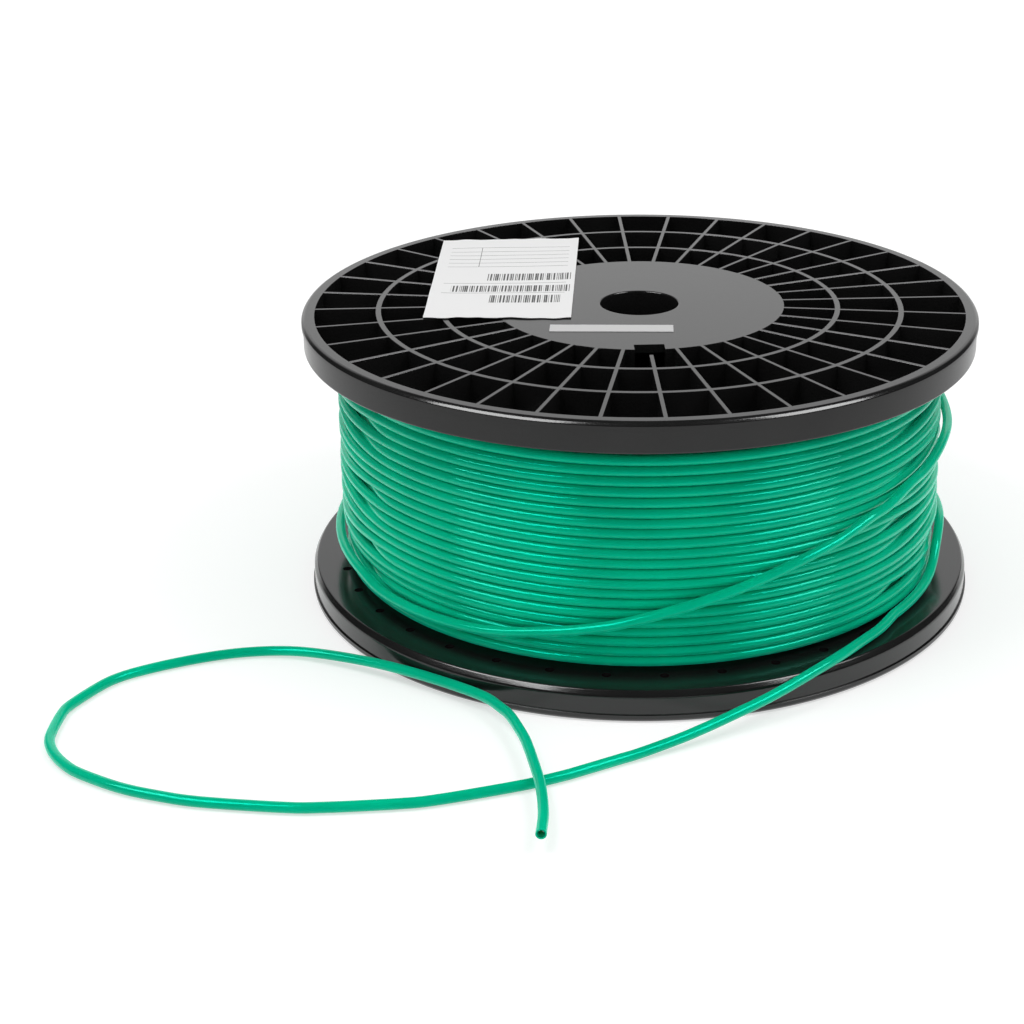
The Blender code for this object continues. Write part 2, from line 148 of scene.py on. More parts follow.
def flange_sector(shoulder_edge):
    """Make the flange between the middles of two ribs, with its three pockets pressed in."""
    sector = bmesh.new()
    section = [sector.verts.new((radius, 0.0, height)) for radius, height in flange_section(shoulder_edge)]
    edges = [sector.edges.new(pair) for pair in zip(section, section[1:] + section[:1])]
    step = tau / rib_count
    bmesh.ops.spin(
        sector, geom=section + edges, axis=(0, 0, 1), angle=step, steps=sector_columns, use_merge=False
    )
    for vert in sector.verts:
        radius = vert.co.xy.length
        column = round(atan2(vert.co.y, vert.co.x) / step * sector_columns)
        on_ribs = abs(vert.co.z) < merge_distance and hub_radius - rib_width < radius < rim_inside + rib_width
        if on_ribs and 0 < column < sector_columns:
            edge = asin(rib_width / 2 / radius)
            share = (column - 1) / (sector_columns - 2)
            angle = edge + (step - 2 * edge) * share
            vert.co.xy = (radius * cos(angle), radius * sin(angle))
    walls = [hub_radius, *[m + side * ring_width / 2 for m in ring_middles for side in (-1, 1)], rim_inside]
    for inner, outer in zip(walls[0::2], walls[1::2]):
        pocket = []
        for face in sector.faces:
            middle = face.calc_center_median()
            angle = atan2(middle.y, middle.x)
            clear = rib_width / 2 < middle.xy.length * sin(min(angle, step - angle))
            if clear and abs(middle.z) < merge_distance and inner < middle.xy.length < outer:
                pocket.append(face)
        pressed = bmesh.ops.extrude_face_region(sector, geom=pocket)
        floor = [item for item in pressed["geom"] if isinstance(item, bmesh.types.BMVert)]
        bmesh.ops.translate(sector, verts=floor, vec=(0.0, 0.0, web_thickness - flange_depth))
        bmesh.ops.delete(sector, geom=[face for face in pocket if face.is_valid], context="FACES_ONLY")
    bmesh.ops.recalc_face_normals(sector, faces=sector.faces)
    tops = [edge for edge in sector.edges if is_pocket_edge(edge)]
    bmesh.ops.bevel(
        sector, geom=tops, offset=rib_round, offset_type="OFFSET", segments=rib_round_pieces, profile=0.5,
        affect="EDGES", material=-1,
    )
    return sector


def is_pocket_edge(edge):
    """Tell whether an edge lies between a rib's flat top and the wall of a pocket."""
    if any(abs(vert.co.z) > merge_distance for vert in edge.verts) or len(edge.link_faces) != 2:
        return False
    rises = sorted(abs(face.normal.z) for face in edge.link_faces)
    return rises[0] < upright_normal and rises[1] > level_normal


def flange_cutter():
    """Make the drain holes in the outer pockets and the slot at the hub's edge, as one cutter."""
    cutter = bmesh.new()
    for pocket in range(rib_count):
        angle = tau * (pocket + 0.5) / rib_count
        place = (drain_place * cos(angle), drain_place * sin(angle), -flange_depth)
        bmesh.ops.create_cone(
            cutter, cap_ends=True, segments=drain_sides, radius1=drain_radius, radius2=drain_radius,
            depth=2 * web_thickness + drain_cutter_spare, matrix=Matrix.Translation(place),
        )
    size = Matrix.Diagonal((slot_reach[1] - slot_reach[0], slot_width, slot_cutter_height, 1.0))
    middle = Matrix.Translation(((slot_reach[0] + slot_reach[1]) / 2, 0.0, 0.0))
    bmesh.ops.create_cube(cutter, size=1.0, matrix=middle @ size)
    return cutter


def mesh_object(name, shape):
    """Make an object of a bmesh and free the bmesh."""
    mesh = bpy.data.meshes.new(name)
    shape.to_mesh(mesh)
    shape.free()
    piece = bpy.data.objects.new(name, mesh)
    bpy.context.scene.collection.objects.link(piece)
    return piece


def evaluated_mesh(piece):
    """Return the object's mesh with its modifiers applied, and remove the object."""
    bpy.context.view_layer.update()
    evaluated = piece.evaluated_get(bpy.context.evaluated_depsgraph_get())
    mesh = bpy.data.meshes.new_from_object(evaluated)
    bpy.data.objects.remove(piece, do_unlink=True)
    return mesh


def flange_mesh(shoulder_edge):
    """Repeat the sector round the axis and cut the holes and the slot out of it."""
    ring = flange_sector(shoulder_edge)
    whole = ring.verts[:] + ring.edges[:] + ring.faces[:]
    bmesh.ops.spin(
        ring, geom=whole, axis=(0, 0, 1), angle=tau * (rib_count - 1) / rib_count, steps=rib_count - 1,
        use_duplicate=True,
    )
    bmesh.ops.remove_doubles(ring, verts=ring.verts, dist=merge_distance)
    bmesh.ops.recalc_face_normals(ring, faces=ring.faces)
    blank = mesh_object("flange_blank", ring)
    cutter = mesh_object("flange_cutter", flange_cutter())
    cut = blank.modifiers.new("holes", "BOOLEAN")
    cut.operation = "DIFFERENCE"
    cut.solver = "EXACT"
    cut.object = cutter
    mesh = evaluated_mesh(blank)
    bpy.data.objects.remove(cutter, do_unlink=True)
    return mesh


def coat(piece, material):
    """Give a piece one material."""
    piece.data.materials.clear()
    piece.data.materials.append(material)


def new_material(name):
    """Return a new material with its nodes, its links and its shader."""
    material = bpy.data.materials.new(name)
    material.use_nodes = True
    nodes = material.node_tree.nodes
    return material, nodes, material.node_tree.links, nodes["Principled BSDF"]


def object_texture(nodes, links, kind, **settings):
    """Return a texture in the piece's own coordinates, with the given sockets set."""
    place = nodes.new("ShaderNodeTexCoord")
    texture = nodes.new(kind)
    for socket, value in settings.items():
        texture.inputs[socket].default_value = value
    links.new(place.outputs["Object"], texture.inputs["Vector"])
    return texture


def colour_between(nodes, links, texture, shader, stops, tones):
    """Let a texture colour a shader from one tone to the other, between two stops."""
    ramp = nodes.new("ShaderNodeValToRGB")
    for i in range(2):
        ramp.color_ramp.elements[i].position = stops[i]
        ramp.color_ramp.elements[i].color = (*tones[i], 1.0)
    links.new(texture.outputs["Fac"], ramp.inputs["Fac"])
    links.new(ramp.outputs["Color"], shader.inputs["Base Color"])


def bump_surface(nodes, links, texture, shader, strength, distance):
    """Let a texture raise and lower a shader's surface."""
    bump = nodes.new("ShaderNodeBump")
    bump.inputs["Strength"].default_value = strength
    bump.inputs["Distance"].default_value = distance
    links.new(texture.outputs["Fac"], bump.inputs["Height"])
    links.new(bump.outputs["Normal"], shader.inputs["Normal"])


def plastic_material():
    """Moulded black plastic: satin, with fine grain, smudges and faint flow marks round the axis."""
    material, nodes, links, shader = new_material("black_plastic")
    shader.inputs["IOR"].default_value = 1.5
    smudge = object_texture(nodes, links, "ShaderNodeTexNoise", Scale=22.0, Detail=5.0)
    colour_between(nodes, links, smudge, shader, (0.3, 0.75), plastic_blacks)
    rings = object_texture(nodes, links, "ShaderNodeTexWave", Scale=60.0, Distortion=6.0, Detail=3.0)
    rings.wave_type = "RINGS"
    rings.rings_direction = "Z"
    marks = nodes.new("ShaderNodeMix")
    marks.inputs["Factor"].default_value = 0.25
    links.new(smudge.outputs["Fac"], marks.inputs["A"])
    links.new(rings.outputs["Fac"], marks.inputs["B"])
    rough = nodes.new("ShaderNodeMapRange")
    rough.inputs["To Min"].default_value = 0.13
    rough.inputs["To Max"].default_value = 0.2
    links.new(marks.outputs["Result"], rough.inputs["Value"])
    links.new(rough.outputs["Result"], shader.inputs["Roughness"])
    grain = object_texture(nodes, links, "ShaderNodeTexNoise", Scale=900.0, Detail=3.0)
    bump_surface(nodes, links, grain, shader, strength=0.06, distance=0.0004)
    return material


black_plastic = plastic_material()
flange_places = {
    "upper_flange": Matrix.Translation((0, 0, spool_width)) @ Matrix.Rotation(upper_turn, 4, "Z"),
    "lower_flange": Matrix.Rotation(lower_turn, 4, "Z") @ Matrix.Rotation(pi, 4, "X"),
}
for node, place in flange_places.items():
    flange = bpy.data.objects.new("moulded_" + node, flange_mesh(shoulder_edges[node]))
    flange.data.transform(place)
    flange.data.shade_smooth()
    flange.data.set_sharp_from_angle(angle=flange_sharp_angle)
    coat(flange, black_plastic)
    bpy.context.scene.collection.objects.link(flange)
    even_shading = flange.modifiers.new("even_shading", "WEIGHTED_NORMAL")
    even_shading.keep_sharp = True
    even_shading.weight = flat_face_weight
    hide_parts(node)
    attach(flange, "reel")

# Barrel
# A plain tube of the same black plastic that joins the flanges and carries the winding. It shows only
# in the shade behind the bore and the slot, so the node itself stays.
coat(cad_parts["barrel"], black_plastic)

# Packed cable
# The inner layers of cable round the barrel. Seen in the gaps of the outer layer, and through the slots,
# they are rows of round turns, so their ring has a scalloped section of turns on each side.
cable_radius = 0.0025
barrel_radius = 0.0762
clearance = 0.0003
packed_radius = 0.1522
packed_layers = 16
packed_rows = 23
packed_steps = 144
scallop_pieces = 4
scallop_rise = 0.8
jacket_greens = ((0.0003, 0.425, 0.234), (0.0006, 0.50, 0.276))
winding_low = flange_depth + clearance
winding_high = spool_width - flange_depth - clearance


def scallops(start, end, count, bulge):
    """Return points of a row of round turns from start towards end, bulging to one side."""
    points = []
    for turn in range(count):
        for piece in range(scallop_pieces):
            share = (turn + piece / scallop_pieces) / count
            rise = sin(pi * piece / scallop_pieces) * cable_radius * scallop_rise
            points.append(tuple(np.array(start) + (np.array(end) - start) * share + np.array(bulge) * rise))
    return points


def packed_ring():
    """Turn the scalloped section of the inner layers about the reel's axis."""
    inside = barrel_radius + clearance
    low = winding_low + cable_radius
    high = winding_high - cable_radius
    outside = packed_radius - cable_radius
    section = scallops((inside, high), (outside, high), packed_layers, (0, 1))
    section += scallops((outside, high), (outside, low), packed_rows, (1, 0))
    section += scallops((outside, low), (inside, low), packed_layers, (0, -1))
    section += [(inside, low)]
    ring = bmesh.new()
    verts = [ring.verts.new((radius, 0.0, height)) for radius, height in section]
    edges = [ring.edges.new(pair) for pair in zip(verts, verts[1:] + verts[:1])]
    bmesh.ops.spin(ring, geom=verts + edges, axis=(0, 0, 1), angle=tau, steps=packed_steps, use_merge=True)
    bmesh.ops.remove_doubles(ring, verts=ring.verts, dist=merge_distance)
    bmesh.ops.recalc_face_normals(ring, faces=ring.faces)
    return ring


def jacket_material():
    """Smooth green cable jacket: the twisted pairs inside show as faint waves in its shine."""
    material, nodes, links, shader = new_material("green_jacket")
    shader.inputs["Roughness"].default_value = 0.1
    shader.inputs["Specular Tint"].default_value = (0.0, 1.0, 0.78, 1.0)
    shader.inputs["Sheen Weight"].default_value = 0.9
    shader.inputs["Sheen Roughness"].default_value = 0.4
    shader.inputs["Sheen Tint"].default_value = (0.02, 1.0, 0.68, 1.0)
    shader.inputs["Subsurface Weight"].default_value = 0.3
    shader.inputs["Subsurface Radius"].default_value = (0.3, 1.0, 0.7)
    shader.inputs["Subsurface Scale"].default_value = 0.0015
    cloud = object_texture(nodes, links, "ShaderNodeTexNoise", Scale=30.0, Detail=3.0)
    colour_between(nodes, links, cloud, shader, (0.3, 0.7), jacket_greens)
    ripple = object_texture(nodes, links, "ShaderNodeTexNoise", Scale=160.0, Detail=2.0)
    bump_surface(nodes, links, ripple, shader, strength=0.12, distance=0.0003)
    return material


green_jacket = jacket_material()
packed = mesh_object("packed_turns", packed_ring())
packed.data.shade_smooth()
coat(packed, green_jacket)
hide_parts("packed_cable")
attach(packed, "reel")

# Outer layer
# The turns that show: one length of jacketed cable, wound from the lower flange up, that lies a little
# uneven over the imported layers. Some turns cross over their neighbours at the flanks, and both ends dive
# under the layer.
layer_radius = 0.1585
layer_turns = 21
layer_end = 110
turn_points = 288
layer_resolution = 4
groove_pitch = 0.0055
turn_clearance = 0.00004
least_spacing = 2 * cable_radius + turn_clearance
tucked_share = 0.97
low_turn = winding_low + cable_radius
top_turn = winding_high - cable_radius
lower_turns = 5
lower_sink = 0.002
uneven_depth = 0.0007
uneven_middle = 0.6
gap_contrast = 2.2
fade_turns = 2
# Waves along the cable: their weight, their number in a turn, and their place across the noise.
gap_waves = ((1.0, 2.3, (4.1, 0.0)), (0.6, 6.1, (9.7, 3.0)))
depth_waves = ((1.0, 3.1, (1.3, 7.0)), (0.5, 9.0, (2.2, 5.0)))
end_dive = 0.009
dive_turns = 0.05
crossing_dip = 0.0047
# The lower turn of each crossing pair: 1 where the upper turn dips under it, -1 where it dips itself.
left_crossings = {1: 1, 5: -1, 8: 1, 11: -1, 15: 1, 18: -1}
right_crossings = {2: -1, 6: 1, 9: -1, 13: 1, 17: 1}
# Degrees round the reel: a pair crosses between the first two, and crosses back between the last two.
left_flank = (-250, -215, -176, -140)
right_flank = (-46, -4, 50, 85)


def waves_at(along, waves):
    """Return the sum of waves at a place along the cable, counted in turns."""
    return sum(weight * noise.noise((along * rate, *place)) for weight, rate, place in waves)


def unevenness(along):
    """Return how wide the gap above a turn is, as a weight, at a place counted in turns."""
    fade = min(1.0, along / fade_turns, max(0.0, layer_turns - 1 - along) / fade_turns)
    return np.exp(gap_contrast * fade * waves_at(along, gap_waves))


def layer_gaps(free, share):
    """Return the gaps between turns at a share of a turn, which take up the free height together."""
    weights = np.array([unevenness(turn + share) for turn in range(layer_turns - 1)])
    return free * weights / weights.sum()


def eased(value, start, end):
    """Return how far a value is from start to end, as a smooth share."""
    share = min(1.0, max(0.0, (value - start) / (end - start)))
    return share * share * (3 - 2 * share)


def swapped_share(angle, flank):
    """Return how far two neighbours have changed places at an angle of a flank, in degrees."""
    return min(eased(angle, flank[0], flank[1]), eased(angle, flank[3], flank[2]))


def cross_over(heights, depths):
    """Let pairs of neighbouring turns change places at the flanks, one of them dipping under the other."""
    for place in range(turn_points):
        angle = layer_end - 360 * place / turn_points
        for crossings, flank in ((left_crossings, left_flank), (right_crossings, right_flank)):
            share = swapped_share(angle, flank)
            for turn, upper_dips in crossings.items():
                lower = turn * turn_points + place
                upper = lower + turn_points
                rise = (heights[upper] - heights[lower]) * share
                heights[lower] += rise
                heights[upper] -= rise
                dip = crossing_dip * 4 * share * (1 - share)
                depths[upper if upper_dips > 0 else lower] += dip


def layer_points():
    """Return the points of the outer layer's cable, from its lowest turn to its top one."""
    climb = top_turn - groove_pitch - low_turn
    free = climb * (layer_turns - 1) / layer_turns - (layer_turns - 1) * least_spacing
    first_rise = least_spacing + layer_gaps(free, 0.0)[0]
    heights = np.zeros(layer_turns * turn_points + 1)
    depths = np.zeros(layer_turns * turn_points + 1)
    for place in range(turn_points):
        share = place / turn_points
        start = low_turn + share * first_rise
        stack = start + np.concatenate(([0.0], np.cumsum(least_spacing + layer_gaps(free, share))))
        heights[place:layer_turns * turn_points:turn_points] = stack
    heights[-1] = heights[-2]
    cross_over(heights, depths)
    points = []
    for i, height in enumerate(heights):
        along = i / turn_points
        angle = radians(layer_end) - tau * along
        hollow = uneven_depth * max(0.0, uneven_middle + waves_at(along, depth_waves))
        sink = lower_sink * min(1.0, max(0.0, lower_turns - along)) + hollow
        dive = end_dive * (1 - eased(min(along, layer_turns - along), 0.0, dive_turns))
        radius = layer_radius - sink - depths[i] - dive
        points.append((radius * cos(angle), radius * sin(angle), height))
    return points


def cable_tube(name, points, resolution, inner_points=0):
    """Make the closed mesh of a round cable along points; its first ones may lie in another cable's end."""
    curve = bpy.data.curves.new(name, "CURVE")
    curve.dimensions = "3D"
    curve.bevel_depth = cable_radius
    curve.bevel_resolution = resolution
    curve.use_fill_caps = True
    spline = curve.splines.new("POLY")
    spline.points.add(len(points) - 1)
    for spline_point, point in zip(spline.points, points):
        spline_point.co = (*point, 1.0)
    for spline_point in spline.points[:inner_points]:
        spline_point.radius = tucked_share
    line = bpy.data.objects.new(name + "_line", curve)
    bpy.context.scene.collection.objects.link(line)
    tube = bmesh.new()
    tube.from_mesh(evaluated_mesh(line))
    bmesh.ops.remove_doubles(tube, verts=tube.verts, dist=merge_distance)
    bmesh.ops.recalc_face_normals(tube, faces=tube.faces)
    return tube


outer_turns = mesh_object("outer_turns", cable_tube("outer_turns", layer_points(), layer_resolution))
outer_turns.data.shade_smooth()
coat(outer_turns, green_jacket)
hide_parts("outer_layer")
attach(outer_turns, "reel")

# Last turn
# The turn of jacketed cable that has been drawn off: it leaves its groove under the upper flange at the
# right, drops across the winding, and goes round once more above the lower flange.
# Its route: angle in degrees, rise over the layer in cable diameters, and share of the winding's height.
last_turn_route = (
    (372, 0.0, 1.0), (300, 0.0, 1.0), (220, 0.0, 1.0), (140, 0.0, 1.0), (90, 0.0, 1.0),
    (80, 0.12, 1.0), (70, 0.5, 1.0), (60, 1.08, 0.99), (50, 1.2, 0.935), (40, 1.15, 0.85),
    (28, 1.14, 0.765), (16, 1.13, 0.703), (6, 1.13, 0.672), (-1, 1.13, 0.659), (-8, 1.13, 0.658),
    (-14.5, 1.13, 0.658), (-18, 1.13, 0.652), (-23.5, 1.13, 0.634), (-29.2, 1.13, 0.614),
    (-33.3, 1.13, 0.608), (-36.6, 1.13, 0.594), (-41.8, 1.13, 0.557), (-46.7, 1.13, 0.539),
    (-53.8, 1.13, 0.489), (-62, 1.13, 0.44), (-73, 1.13, 0.363), (-86.5, 1.13, 0.272),
    (-93.1, 1.13, 0.227), (-99.9, 0.92, 0.187), (-106.9, 0.78, 0.154), (-114.4, 0.75, 0.122),
    (-120.4, 0.75, 0.107), (-131.9, 0.75, 0.096), (-143.9, 0.75, 0.095), (-155.1, 0.75, 0.121),
    (-190, 0.75, 0.13), (-235, 0.75, 0.14), (-280, 0.75, 0.148), (-320, 0.75, 0.152),
    (-345, 0.75, 0.16), (-360, 0.76, 0.17), (-368, 0.77, 0.17), (-374, 0.76, 0.135),
    (-376.8, 0.75, 0.08), (-380.2, 0.75, 0.036), (-383.6, 0.75, 0.02), (-387.3, 0.75, 0.012),
    (-391.4, 0.76, 0.0075), (-396, 0.8, 0.005),
)
route_pieces = 8
cable_spacing = 0.004
cable_resolution = 8
cut_sharp_angle = radians(40)


def smooth_curve(points):
    """Return points of a Catmull-Rom curve through the given points."""
    places = [np.array(point, dtype=float) for point in points]
    ends = [2 * places[0] - places[1], *places, 2 * places[-1] - places[-2]]
    curve = []
    for before, start, end, after in zip(ends, ends[1:], ends[2:], ends[3:]):
        for piece in range(route_pieces):
            t = piece / route_pieces
            square = (2 * before - 5 * start + 4 * end - after) * t ** 2
            cube = (3 * start - before - 3 * end + after) * t ** 3
            curve.append((2 * start + (end - before) * t + square + cube) / 2)
    return np.array([*curve, places[-1]])


def evenly_spaced(points):
    """Return points at even steps along a line of points, with both ends kept."""
    lengths = np.linalg.norm(np.diff(points, axis=0), axis=1)
    along = np.concatenate(([0.0], np.cumsum(lengths)))
    steps = np.linspace(0.0, along[-1], round(along[-1] / cable_spacing) + 1)
    return np.stack([np.interp(steps, along, points[:, axis]) for axis in range(3)], axis=1)


turn_line = []
for angle, rise, share in smooth_curve(last_turn_route):
    radius = layer_radius + rise * 2 * cable_radius
    height = low_turn + share * (top_turn - low_turn)
    turn_line.append((radius * cos(radians(angle)), radius * sin(radians(angle)), height))
turn_line = evenly_spaced(np.array(turn_line))
drawn_turn = mesh_object("drawn_turn", cable_tube("drawn_turn", turn_line, cable_resolution))
drawn_turn.data.shade_smooth()
drawn_turn.data.set_sharp_from_angle(angle=cut_sharp_angle)
coat(drawn_turn, green_jacket)
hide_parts("last_turn")
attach(drawn_turn, "drawn_cable")

# Free tail
# The loose end of the jacketed cable: over the edge of the lower flange, round in a wide loop on the floor
# and back across itself. Its first ring lies in the drawn turn's end, and its cut end shows the thin wall.
tail_route = (
    (0.1201, -0.1152, 0.0191), (0.1087, -0.1304, 0.0190), (0.0977, -0.1446, 0.0190),
    (0.0771, -0.1634, 0.0157), (0.0671, -0.1708, 0.0134), (0.0573, -0.1776, 0.0114),
    (0.0381, -0.1899, 0.0080), (0.0286, -0.1958, 0.0065), (0.0192, -0.2013, 0.0051),
    (0.0007, -0.2116, 0.0032), (-0.0084, -0.2164, 0.0028), (-0.0264, -0.2273, 0.0028),
    (-0.0353, -0.2323, 0.0028), (-0.0528, -0.2403, 0.0028), (-0.0876, -0.2524, 0.0028),
    (-0.1049, -0.2562, 0.0028), (-0.1396, -0.2598, 0.0028), (-0.1573, -0.2597, 0.0028),
    (-0.1933, -0.2557, 0.0028), (-0.2120, -0.2511, 0.0028), (-0.2314, -0.2441, 0.0028),
    (-0.2523, -0.2320, 0.0028), (-0.2608, -0.2246, 0.0028), (-0.2679, -0.2156, 0.0028),
    (-0.2726, -0.2065, 0.0028), (-0.2748, -0.1972, 0.0028), (-0.2748, -0.1779, 0.0028),
    (-0.2728, -0.1680, 0.0028), (-0.2624, -0.1476, 0.0028), (-0.2549, -0.1387, 0.0028),
    (-0.2461, -0.1323, 0.0028), (-0.2337, -0.1252, 0.0028), (-0.2176, -0.1178, 0.0028),
    (-0.2009, -0.1127, 0.0029), (-0.1834, -0.1110, 0.0032), (-0.1678, -0.1136, 0.0040),
    (-0.1492, -0.1208, 0.0052), (-0.1279, -0.1315, 0.0066), (-0.1068, -0.1443, 0.0076),
    (-0.0861, -0.1581, 0.0081), (-0.0728, -0.1686, 0.0083), (-0.0655, -0.1782, 0.0084),
    (-0.0600, -0.1871, 0.0085), (-0.0529, -0.2063, 0.0087), (-0.0503, -0.2161, 0.0088),
    (-0.0481, -0.2256, 0.0088), (-0.0433, -0.2493, 0.0089), (-0.0409, -0.2731, 0.0092),
    (-0.0411, -0.2914, 0.0096),
)
jacket_wall = 0.0006
cut_depth = 0.011


def open_cut_end(tube, end, direction):
    """Sink the inside of the jacket into the tube's far end."""
    at_end = []
    for face in tube.faces:
        if abs((face.calc_center_median() - end).dot(direction)) < merge_distance:
            at_end.append(face)
    rim = bmesh.ops.inset_region(tube, faces=at_end, thickness=jacket_wall, use_even_offset=True)
    ring = set(rim["faces"])
    inside = [face for face in at_end if face.is_valid and face not in ring]
    sunk = bmesh.ops.extrude_face_region(tube, geom=inside)
    verts = [item for item in sunk["geom"] if isinstance(item, bmesh.types.BMVert)]
    bmesh.ops.translate(tube, verts=verts, vec=-direction * cut_depth)
    bmesh.ops.delete(tube, geom=[face for face in inside if face.is_valid], context="FACES_ONLY")


turn_heading = turn_line[-1] - turn_line[-2]
turn_heading = turn_heading / np.linalg.norm(turn_heading)
tail_start = turn_line[-1]
tail_curve = smooth_curve([tail_start, tail_start + turn_heading * 2 * cable_radius, *tail_route])
tail_line = np.concatenate((turn_line[-2:-1], evenly_spaced(tail_curve)))
tail_end = Vector(tail_line[-1])
tail_direction = (tail_end - Vector(tail_line[-2])).normalized()
tail_tube = cable_tube("loose_tail", tail_line, cable_resolution, inner_points=1)
open_cut_end(tail_tube, tail_end, tail_direction)
loose_tail = mesh_object("loose_tail", tail_tube)
loose_tail.data.shade_smooth()
loose_tail.data.set_sharp_from_angle(angle=cut_sharp_angle)
coat(loose_tail, green_jacket)
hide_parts("free_tail")
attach(loose_tail, "drawn_cable")

# Wires
# The eight insulated wires of the four pairs, which lie in the dark of the cut end. Each is a plain rod, so
# the nodes themselves stay, in the colour of their plastic insulation.
wire_colours = {
    "white_blue": (0.62, 0.68, 0.78),
    "blue": (0.03, 0.12, 0.50),
    "white_orange": (0.80, 0.68, 0.56),
    "orange": (0.75, 0.22, 0.02),
    "white_green": (0.60, 0.74, 0.62),
    "green": (0.02, 0.27, 0.08),
    "white_brown": (0.68, 0.62, 0.56),
    "brown": (0.16, 0.06, 0.03),
}
for wire, colour in wire_colours.items():
    insulation, _, _, insulation_shader = new_material(wire + "_insulation")
    insulation_shader.inputs["Base Color"].default_value = (*colour, 1.0)
    insulation_shader.inputs["Roughness"].default_value = 0.4
    coat(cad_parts[wire + "_wire"], insulation)

# Labels
# A paper sheet and a narrow strip, stuck on the upper flange. The sheet lies on the hub and spans the ribs
# beside it, so its free edges are a little wavy. Both carry only blank rules and stripes.
paper_thickness = 0.0002
sheet_corners = ((-0.1122, -0.0279), (-0.0353, -0.0275), (-0.0353, 0.1213), (-0.1137, 0.1157))
strip_corners = ((-0.0457, -0.0487), (0.0175, -0.0488), (0.0175, -0.0381), (-0.0457, -0.0379))
sheet_white = 0.74
strip_white = 0.52
ink_grey = 0.08
bars_across = 85.0
# Noise over a sheet: waves over its width and its height, and the place across the noise.
edge_noise = (9, 17, 0.4)
wave_noise = (3, 5, 2.0)
# How steeply the ragged edge and the wave fade from the border inwards.
edge_fade = 8
wave_fade = 2
rule_reach = (0.08, 0.94)
rule_heights = (0.885, 0.83, 0.78, 0.73, 0.68, 0.63, 0.415, 0.295)
rule_half_width = 0.0014
label_sharp_angle = radians(50)


def noise_over(u, v, waves):
    """Return the noise at a place on a sheet, given as shares of its width and its height."""
    return noise.noise((u * waves[0], v * waves[1], waves[2]))


def paper_sheet(corners, columns, rows, lift, free_wave, ragged_edge):
    """Make a thin sheet between four corners, given from the front left one round to the right."""
    sheet = bmesh.new()
    sheet.loops.layers.uv.new("UVMap")
    bmesh.ops.create_grid(sheet, x_segments=columns, y_segments=rows, size=0.5, calc_uvs=True)
    front_left, front_right, back_right, back_left = [Vector(corner) for corner in corners]
    for vert in sheet.verts:
        u = vert.co.x + 0.5
        v = vert.co.y + 0.5
        place = front_left.lerp(front_right, u).lerp(back_left.lerp(back_right, u), v)
        border = max(abs(u - 0.5), abs(v - 0.5)) * 2
        ragged = ragged_edge * border ** edge_fade * noise_over(u, v, edge_noise)
        wave = free_wave * border ** wave_fade * (1 + noise_over(u, v, wave_noise))
        vert.co = (place.x, place.y + ragged, spool_width + lift + wave)
    bmesh.ops.solidify(sheet, geom=sheet.faces[:], thickness=paper_thickness)
    bmesh.ops.recalc_face_normals(sheet, faces=sheet.faces)
    return sheet


def paper_material(name, white, marks):
    """White paper with plain marks, each a band between two widths and two heights, striped or not."""
    material, nodes, links, shader = new_material(name)
    shader.inputs["Roughness"].default_value = 0.7
    shader.inputs["Specular IOR Level"].default_value = 0.3
    place = nodes.new("ShaderNodeUVMap")
    parts = nodes.new("ShaderNodeSeparateXYZ")
    links.new(place.outputs["UV"], parts.inputs["Vector"])
    bars = nodes.new("ShaderNodeTexNoise")
    bars.noise_dimensions = "1D"
    bars.inputs["Scale"].default_value = bars_across
    bars.inputs["Detail"].default_value = 0.0
    links.new(parts.outputs["X"], bars.inputs["W"])
    dark_bars = nodes.new("ShaderNodeMath")
    dark_bars.operation = "GREATER_THAN"
    dark_bars.inputs[1].default_value = 0.5
    links.new(bars.outputs["Fac"], dark_bars.inputs[0])

    def combined(operation, first, second):
        """Return the value of two others under a math operation."""
        joined = nodes.new("ShaderNodeMath")
        joined.operation = operation
        links.new(first, joined.inputs[0])
        links.new(second, joined.inputs[1])
        return joined.outputs["Value"]

    def between(value, low, high):
        """Return 1 where a value lies between two limits, and 0 elsewhere."""
        band = nodes.new("ShaderNodeMath")
        band.operation = "COMPARE"
        band.inputs[1].default_value = (low + high) / 2
        band.inputs[2].default_value = (high - low) / 2
        links.new(value, band.inputs[0])
        return band.outputs["Value"]

    shader.inputs["Base Color"].default_value = (white, white, white, 1.0)
    ink = None
    for left, right, low, high, striped in marks:
        across = between(parts.outputs["X"], left, right)
        up = between(parts.outputs["Y"], low, high)
        mark = combined("MULTIPLY", across, up)
        if striped:
            mark = combined("MULTIPLY", mark, dark_bars.outputs["Value"])
        ink = combined("MAXIMUM", ink, mark) if ink else mark
    if ink:
        tint = nodes.new("ShaderNodeMix")
        tint.data_type = "RGBA"
        tint.inputs["A"].default_value = (white, white, white, 1.0)
        tint.inputs["B"].default_value = (ink_grey, ink_grey, ink_grey, 1.0)
        links.new(ink, tint.inputs["Factor"])
        links.new(tint.outputs["Result"], shader.inputs["Base Color"])
    return material


sheet_shape = paper_sheet(
    sheet_corners, columns=40, rows=72, lift=0.0004, free_wave=0.0004, ragged_edge=0.0016
)
strip_shape = paper_sheet(strip_corners, columns=24, rows=6, lift=0.00025, free_wave=0.0, ragged_edge=0.0)
